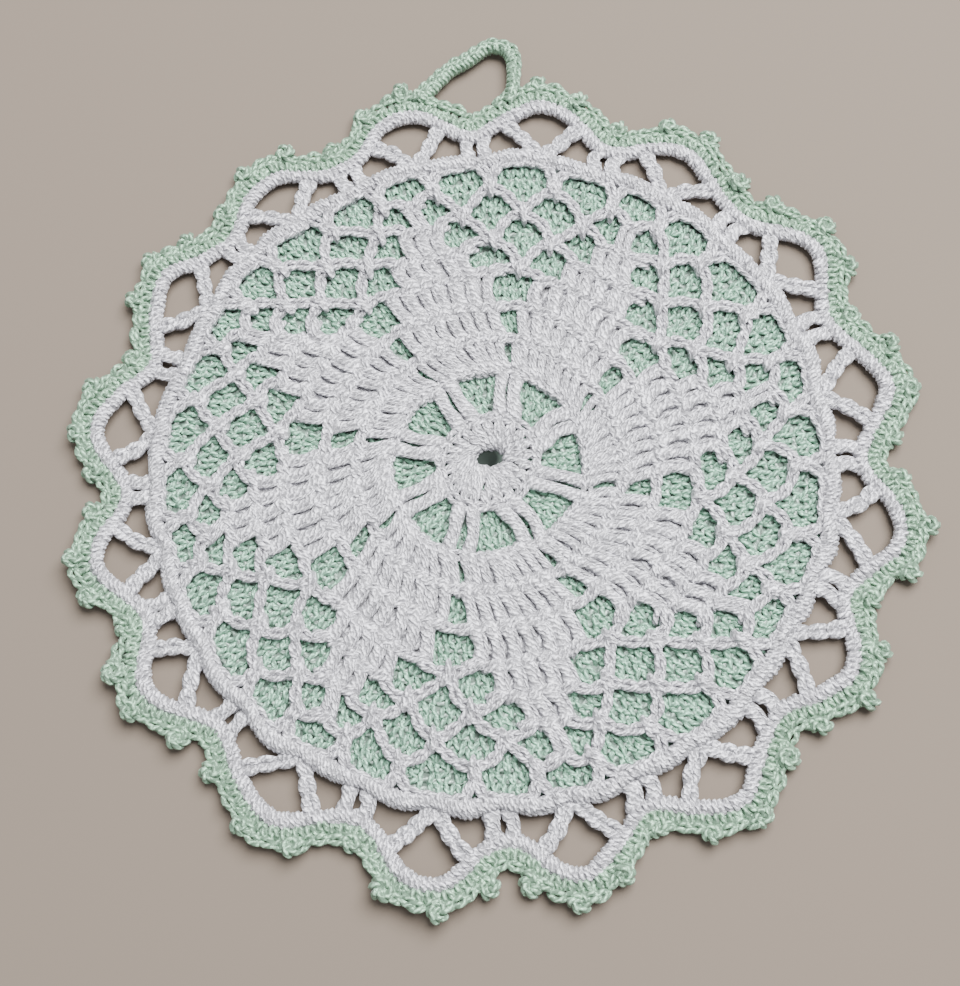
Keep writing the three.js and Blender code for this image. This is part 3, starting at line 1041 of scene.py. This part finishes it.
def flower_heart():
    """Rays that dip into the centre hole, a round of plain stitches, a chain, and a pair of posts for
    each spoke. The hole is an oval beside the middle: its radius is a middle one less a share of the
    cosine of twice the angle."""
    rng = fresh_rng(2)
    angle = full_turn(HEART_RAYS)
    hole = HOLE_RADIUS - HOLE_OVAL * np.cos(2 * np.radians(angle))
    inner = on_lace(on_flower(angle + RAY_TURN, hole) + HOLE_SHIFT, -HOLE_DIP)
    outer = on_lace(on_flower(angle, RAY_END), rise=0.1)
    parts = post_yarn(inner, outer, rng, width=1.8, fill=0.34)
    stitches = on_lace(on_flower(angle + HEART_ROUND_TURN, HEART_ROUND))
    outward = heading(angle + HEART_ROUND_TURN)
    parts.append(plain_yarn(stitches, np.cross(outward, UP), outward, radius=0.62))
    parts.append(chain_yarn([flower_ring(HEART_CHAIN_RADIUS)], rng, HEART_CHAIN, closed=True))
    petal, side = both_sides(PETAL_COUNT)
    foot = on_lace(in_sector(petal, SECTOR / 2 + side * SPOKE_FOOT_ANGLE, SPOKE_FOOT))
    head = on_lace(in_sector(petal, SECTOR / 2 + side * SPOKE_HEAD_ANGLE, SPOKE_HEAD))
    return parts + post_yarn(foot, head, rng, width=2.7, fill=0.36)


def petal_cells():
    """Petal, row, angle across and post spacing of every post, as flat arrays."""
    cells = []
    for row, size in enumerate(PETAL_ROWS):
        across = np.linspace(-size.half, size.half, size.posts)
        spacing = 2 * size.half / (size.posts - 1)
        for petal in range(PETAL_COUNT):
            cells.append(np.stack(np.broadcast_arrays(petal, row, across, spacing), axis=-1))
    petal, row, across, spacing = np.concatenate(cells).T
    return petal.astype(int), row.astype(int), across, spacing


def petal_posts():
    """Posts of the petals' rows, each gripping over the row below, leaning a little against the turn of
    the rows."""
    petal, row, across, spacing = petal_cells()
    low = np.where(row == 0, FIRST_FOOT, ROW_TOPS[row - 1] - POST_GRIP)
    high = ROW_TOPS[row] - POST_SHORT
    lean = np.degrees(POST_LEAN / high)
    bottom = on_lace(in_sector(petal, across + lean, low))
    top = on_lace(in_sector(petal, across - lean, high))
    width = np.clip(np.radians(spacing) * (low + high) / 2, *POST_WIDTHS)
    return post_yarn(bottom, top, fresh_rng(3), width)


def petal_rows():
    """Tops of each row of posts, chains that close the first row to a round, a chain on the spokes, and
    the backing."""
    rng = fresh_rng(4)
    petal, row, across, spacing = petal_cells()
    here = in_sector(petal, across + spacing / 2, ROW_TOPS[row])
    ahead = in_sector(petal, across - spacing / 2, ROW_TOPS[row])
    along = raised(ahead - here, 0.0) / TOP_PITCH
    parts = top_yarn(on_lace(here, rise=0.1), -sideways(along), along, rng)
    first = PETAL_ROWS[0]
    bridge = np.linspace(first.half, SECTOR - first.half, num=6)
    bridges = on_lace(in_sector(np.arange(PETAL_COUNT)[:, None], bridge, first.top))
    parts.append(chain_yarn(bridges, rng, BRIDGE_CHAIN))
    parts.append(chain_yarn([flower_ring(SPOKE_RING)], rng, SPOKE_CHAIN, closed=True))
    return [*parts, petal_backing()]


def petal_backing():
    """A flat strand behind each row of posts, from its first post to its last, that closes the slits."""
    routes = []
    half_widths = []
    low = WEDGE_OUTER
    for size in PETAL_ROWS:
        across = np.linspace(-size.half, size.half, num=9)
        for petal in range(PETAL_COUNT):
            routes.append(on_lace(in_sector(petal, across, (low + size.top) / 2), rise=-0.42))
            half_widths.append((size.top - low) / 2 - BACKING_MARGIN)
        low = size.top
    return sweep(np.stack(routes), radius=0.25, half_width=np.array(half_widths)[:, None])


# Net
class HOTPAD_OT_net(bpy.types.Operator):
    """White net of chain loops between the petals, up to the rim"""

    bl_idname = "hot_pad.net"
    bl_label = "Chain net"

    def execute(self, context):
        add_piece("chain_net", chain_net(), "front_lace", white_yarn())
        return {"FINISHED"}


ARCH_FULLNESS = 1.9
RIM_FULLNESS = 6.0
FOOT_CLIMB = 0.3
KNOT_BELOW = 0.9
KNOT_ABOVE = 1.4


def arch(petal, left, right, apex, fullness):
    """Route of a chain loop from foot to foot: the share of the apex's rise is 1 - |2 s - 1| to the power
    of the fullness, with s the share of the way; it climbs over the loops below at its feet."""
    share = cosine_bell(np.linspace(-1.0, 0.0, num=21))
    hump = 1.0 - np.abs(2 * share - 1.0) ** fullness
    across = left[0] + share * (right[0] - left[0])
    base = left[1] + share * (right[1] - left[1])
    radius = base + hump * (apex - (left[1] + right[1]) / 2)
    return on_lace(in_sector(petal, across, radius), FOOT_CLIMB * (1.0 - hump))


def net_routes():
    """Routes of all chain loops, row by row, and the feet where a loop hangs on the loop below."""
    routes = []
    feet_points = []
    for row in range(FIRST_NET_ROW, LAST_ROW + 1):
        size = PETAL_ROWS[row]
        feet = loop_feet(row)
        radii = [size.top, *[PETAL_ROWS[row - 1].apex] * (len(feet) - 2), size.top]
        ends = list(zip(feet, radii))
        for petal in range(PETAL_COUNT):
            routes += [arch(petal, *pair, size.apex, ARCH_FULLNESS) for pair in zip(ends, ends[1:])]
            feet_points += [(petal, *end) for end in ends[1:-1]]
    last = PETAL_ROWS[LAST_ROW].apex
    tops = [(angle, last) for angle in loop_tops(LAST_ROW)]
    starts = [(tops[-1][0] - SECTOR, last), *tops[:-1]]
    for petal in range(PETAL_COUNT):
        routes += [arch(petal, *pair, RIM_RADIUS, RIM_FULLNESS) for pair in zip(starts, tops)]
        feet_points += [(petal, *end) for end in tops]
    return routes, np.array(feet_points)


def chain_net():
    """Chains of the loops with a core, and a short knot at each foot on a loop below."""
    rng = fresh_rng(5)
    routes, feet = net_routes()
    petal, across, radius = feet[:, 0].astype(int), feet[:, 1], feet[:, 2]
    low = on_lace(in_sector(petal, across, radius - KNOT_BELOW), rise=0.15)
    high = on_lace(in_sector(petal, across, radius + KNOT_ABOVE), rise=0.15)
    knots = post_yarn(low, high, rng, width=3.2)
    cores = core_yarn(routes, radius=0.6, drop=0.3)
    return [chain_yarn(routes, rng, NET_CHAIN), cores, *knots]


# Joining ring
class HOTPAD_OT_ring(bpy.types.Operator):
    """White joining ring: turns of yarn round a cord, bulging between the border's feet"""

    bl_idname = "hot_pad.ring"
    bl_label = "Joining ring"

    def execute(self, context):
        add_piece("ring_cord", ring_cord(), "joining_ring", white_yarn())
        return {"FINISHED"}


RING_INSET = 0.7
RING_SWELL = 0.9
RING_RISE = 0.05
RING_GIRTH = 0.78
RING_GIRTH_SWELL = 0.42


def ring_cord():
    """Turns round a circle that swells and thickens between the feet of the border, and a core inside.
    The swell is the sine of pi t, without its sign."""
    scallop, t = all_scallops(steps=20)
    swell = np.abs(np.sin(np.pi * t))
    circle = polar(along_scallop(scallop, t), RING_RADIUS - RING_INSET + RING_SWELL * swell)
    line = raised(circle, RING_MIDDLE + RING_RISE)
    girth = RING_GIRTH + RING_GIRTH_SWELL * swell
    turns = wrapped_cord([line], fresh_rng(10), RING_WRAP, closed=True, girth=girth)
    return [turns, sweep(line[None], radius=1.2, closed=True)]


# Border
class HOTPAD_OT_border(bpy.types.Operator):
    """White border: chain legs, pairs of posts in the valleys and the scallop cord"""

    bl_idname = "hot_pad.border"
    bl_label = "Scallop border"

    def execute(self, context):
        add_piece("border_legs", border_legs(), "lace_border", white_yarn())
        add_piece("scallop_cord", scallop_cord(), "lace_border", white_yarn())
        return {"FINISHED"}


# Legs spread to both sides of each tip, and posts stand on both sides of each valley: shares of t
BORDER_FOOT = 67.2
LEG_LENGTH = 7.6
LEG_START = 0.05
LEG_SPREAD = 0.47
LEG_REACH_SHARE = 0.6
LEG_FOOT_RISE = 0.7
VALLEY_FOOT = 0.88
VALLEY_HEAD = 0.87
VALLEY_FOOT_RISE = 0.6
VALLEY_SHORT = 0.6


def border_legs():
    """Two chain legs from the ring to each scallop, and two posts in each valley."""
    rng = fresh_rng(6)
    scallop, side = both_sides(SCALLOP_COUNT)
    share = np.linspace(0.0, 1.0, num=8)
    t = side[:, None] * (LEG_START + LEG_SPREAD * share)
    reach = SCALLOP_REACH[scallop][:, None] * share * LEG_REACH_SHARE
    height = BORDER_MIDDLE + LEG_FOOT_RISE * (1.0 - share)
    legs = on_border(scallop[:, None], t, BORDER_FOOT + LEG_LENGTH * share + reach, height)
    links = chain_yarn(legs, rng, LEG_CHAIN)
    foot = on_border(scallop, side * VALLEY_FOOT, BORDER_FOOT, BORDER_MIDDLE + VALLEY_FOOT_RISE)
    head = on_border(scallop, side * VALLEY_HEAD, CORD_VALLEY_RADIUS - VALLEY_SHORT)
    posts = post_yarn(foot, head, rng, width=3.0, fill=0.36)
    return [links, core_yarn(legs, radius=0.9, drop=0.2), *posts]


def scallop_cord():
    """Turns of yarn round the scalloped line, and a core inside."""
    line = cord_line()
    turns = wrapped_cord([line], fresh_rng(11), CORD_WRAP, closed=True)
    return [turns, sweep(line[None], radius=0.85, closed=True)]


# Edging
class HOTPAD_OT_edging(bpy.types.Operator):
    """Mint edging: short stitches over the scallop cord, a chain along the edge, and picots"""

    bl_idname = "hot_pad.edging"
    bl_label = "Picot edging"

    def execute(self, context):
        add_piece("edging_stitches", edging_stitches(), "edging", mint_yarn())
        add_piece("edging_picots", edging_picots(), "edging", mint_yarn())
        return {"FINISHED"}


# Layers of the edging: points of the cord's line that each starts later, its distance out from the line
# and its height above it
EDGE_LAYERS = ((0, 1.1, 0.25), (12, 1.9, -0.35))
EDGE_PITCH = 2.1
FILLER_OFFSET = 2.3
FILLER_DROP = 0.2
EDGE_CHAIN_OFFSET = 4.1
EDGE_CHAIN_RISE = 0.1
PICOTS_PER_SCALLOP = 3.5
PICOT_FREE_ANGLE = 9.0
PICOT_OFFSET = EDGE_CHAIN_OFFSET + 0.6
PICOT_STRAY = 0.8
PICOT_RADIUS = 1.15
PICOT_RADIUS_SPREAD = 0.14
PICOT_TILT = 0.2


def edging_stitches():
    """Two staggered layers of short stitches that open outwards from the cord, a flat filler inside them,
    and a chain on their tops."""
    rng = fresh_rng(7)
    line = cord_line()
    parts = []
    for later, out, height in EDGE_LAYERS:
        points, along, _ = stations(np.roll(line, later, axis=0), EDGE_PITCH, closed=True)
        outward = -sideways(along)
        origin = jitter(rng, points + outward * out + UP * height, amount=0.22)
        across = -along * (EDGE_PITCH / PLAIN_WIDTH)
        parts.append(plain_yarn(origin, across, outward, radius=0.56))
    filler = offset_line(line, FILLER_OFFSET)[None] - UP * FILLER_DROP
    parts.append(sweep(filler, radius=0.7, closed=True, half_width=1.1))
    rim = offset_line(line, EDGE_CHAIN_OFFSET) + UP * EDGE_CHAIN_RISE
    return [*parts, chain_yarn([rim], rng, RIM_CHAIN, closed=True)]


def edging_picots():
    """Picots: small tilted rings with turns of yarn round them, near an even spacing, none beside the
    hanging loop."""
    rng = fresh_rng(8)
    count = int(SCALLOP_COUNT * PICOTS_PER_SCALLOP)
    place = (np.arange(count) + 0.5) / PICOTS_PER_SCALLOP
    scallop = np.floor(place).astype(int)
    angle = along_scallop(scallop, 2 * (place - scallop) - 1)
    angle = angle[np.minimum(angle % 360, -angle % 360) > PICOT_FREE_ANGLE]
    rim = offset_line(cord_line(), PICOT_OFFSET)
    rim_angle = np.degrees(np.arctan2(rim[:, 0], rim[:, 1])) % 360
    order = np.argsort(rim_angle)
    centre = on_route(angle % 360, rim_angle[order], rim[order])
    centre = centre + rng.uniform(-PICOT_STRAY, PICOT_STRAY, centre.shape) * HAND_SPREAD
    size = rng.normal(PICOT_RADIUS, PICOT_RADIUS_SPREAD, (len(centre), 1))
    circle = polar(full_turn(count=14), size)
    rise = np.sum(circle * rng.normal(0.0, PICOT_TILT, (len(centre), 1, 2)), axis=-1)
    rise = rise - np.min(rise, axis=1, keepdims=True)
    return [wrapped_cord(centre[:, None] + raised(circle, rise), rng, PICOT_WRAP, closed=True)]


# Hanging loop
class HOTPAD_OT_loop(bpy.types.Operator):
    """Mint hanging loop: turns of yarn round a cord"""

    bl_idname = "hot_pad.loop"
    bl_label = "Hanging loop"

    def execute(self, context):
        add_piece("loop_cord", loop_cord(), "hanging_loop", mint_yarn())
        return {"FINISHED"}


LOOP_HEIGHT = 2.1
LOOP_CHAIN_OFFSET = 0.6
LOOP_CHAIN_RISE = 0.9


def loop_cord():
    """Turns of yarn along the loop's route, with a chain on its outer side and a core inside."""
    rng = fresh_rng(9)
    line = spline(raised(LOOP_ROUTE, LOOP_HEIGHT), count=56)
    turns = wrapped_cord([line], rng, LOOP_WRAP)
    outside = offset_line(line, LOOP_CHAIN_OFFSET, closed=False) + UP * LOOP_CHAIN_RISE
    links = chain_yarn([outside], rng, LOOP_CHAIN)
    return [turns, sweep(line[None], radius=1.0), links]


# Cloth: a step that adds nothing to the scene
class HOTPAD_OT_cloth(bpy.types.Operator):
    bl_idname = "hot_pad.cloth"
    bl_label = "Declare the cloth"

    def execute(self, context):
        return {"FINISHED"}


# Stage, in metres
class HOTPAD_OT_stage(bpy.types.Operator):
    """Plain floor, soft light and the camera"""

    bl_idname = "hot_pad.stage"
    bl_label = "Stage"

    def execute(self, context):
        settings = context.scene.hot_pad.stage
        add_floor(settings)
        add_lights(settings)
        add_camera(settings)
        return {"FINISHED"}


FLOOR_HALF = 1.5
KEY_DISTANCE = 1.0
KEY_TURN = math.radians(-45.0)
KEY_TILT = math.radians(-30.0)


def add_floor(settings):
    """A wide flat plane just under the pad."""
    corners = [(x * FLOOR_HALF, y * FLOOR_HALF, 0.0) for x, y in ((-1, -1), (1, -1), (1, 1), (-1, 1))]
    mesh = bpy.data.meshes.new("floor")
    mesh.from_pydata(corners, [], [(0, 1, 2, 3)])
    material, _, shader = new_material("plain floor")
    shader.inputs["Base Color"].default_value = (*settings.floor, 1.0)
    shader.inputs["Roughness"].default_value = 0.9
    mesh.materials.append(material)
    add_to_scene("floor", mesh)


def add_lights(settings):
    """A large soft light above the far right, and even light from all round."""
    light = bpy.data.lights.new("key", "AREA")
    light.shape = "DISK"
    light.size = 0.9
    light.energy = settings.key_power
    tilt = Matrix.Rotation(KEY_TURN, 4, "Z") @ Matrix.Rotation(KEY_TILT, 4, "X")
    add_to_scene("key", light).matrix_world = tilt @ Matrix.Translation((0.0, 0.0, KEY_DISTANCE))
    world = bpy.data.worlds.new("sky")
    bpy.context.scene.world = world
    world.use_nodes = True
    background = world.node_tree.nodes["Background"]
    background.inputs["Color"].default_value = (0.96, 0.98, 1.0, 1.0)
    background.inputs["Strength"].default_value = settings.sky


def add_camera(settings):
    """Camera turned by azimuth, elevation and roll about its target, and set back by the distance."""
    camera = bpy.data.cameras.new("camera")
    camera.lens = settings.lens
    camera.sensor_width = 36.0
    camera.clip_start = 0.01
    turn = Matrix.Rotation(settings.azimuth, 4, "Z")
    tilt = Matrix.Rotation(math.pi / 2 - settings.elevation, 4, "X")
    roll = Matrix.Rotation(settings.roll, 4, "Z")
    back = Matrix.Translation((0.0, 0.0, settings.distance))
    rig = add_to_scene("camera", camera)
    rig.matrix_world = Matrix.Translation(settings.target) @ turn @ tilt @ roll @ back
    bpy.context.scene.camera = rig


class HOTPAD_PT_panel(bpy.types.Panel):
    """Steps and settings of the hot pad"""

    bl_idname = "HOTPAD_PT_panel"
    bl_label = "Crochet hot pad"
    bl_space_type = "VIEW_3D"
    bl_region_type = "UI"
    bl_category = "Hot pad"

    def draw(self, context):
        settings = context.scene.hot_pad
        for group in (settings.yarn, settings.stage):
            box = self.layout.box()
            for name in group.bl_rna.properties.keys():
                if name not in ("rna_type", "name"):
                    box.prop(group, name)
        for step in STEPS:
            self.layout.operator(step.bl_idname)


STEPS = (
    HOTPAD_OT_back,
    HOTPAD_OT_flower,
    HOTPAD_OT_net,
    HOTPAD_OT_ring,
    HOTPAD_OT_border,
    HOTPAD_OT_edging,
    HOTPAD_OT_loop,
    HOTPAD_OT_cloth,
    HOTPAD_OT_stage,
)
CLASSES = (YarnSettings, StageSettings, HotPadSettings, *STEPS, HOTPAD_PT_panel)


def register():
    """Registers the classes and hangs the settings on the scene."""
    for cls in CLASSES:
        bpy.utils.register_class(cls)
    bpy.types.Scene.hot_pad = PointerProperty(type=HotPadSettings)


def unregister():
    """Takes the settings and the classes away again."""
    del bpy.types.Scene.hot_pad
    for cls in reversed(CLASSES):
        bpy.utils.unregister_class(cls)


def main():
    """Makes every piece and the stage in order."""
    register()
    bpy.ops.hot_pad.back()
    bpy.ops.hot_pad.flower()
    bpy.ops.hot_pad.net()
    bpy.ops.hot_pad.ring()
    bpy.ops.hot_pad.border()
    bpy.ops.hot_pad.edging()
    bpy.ops.hot_pad.loop()
    bpy.ops.hot_pad.cloth()
    bpy.ops.hot_pad.stage()


if __name__ == "__main__":
    main()
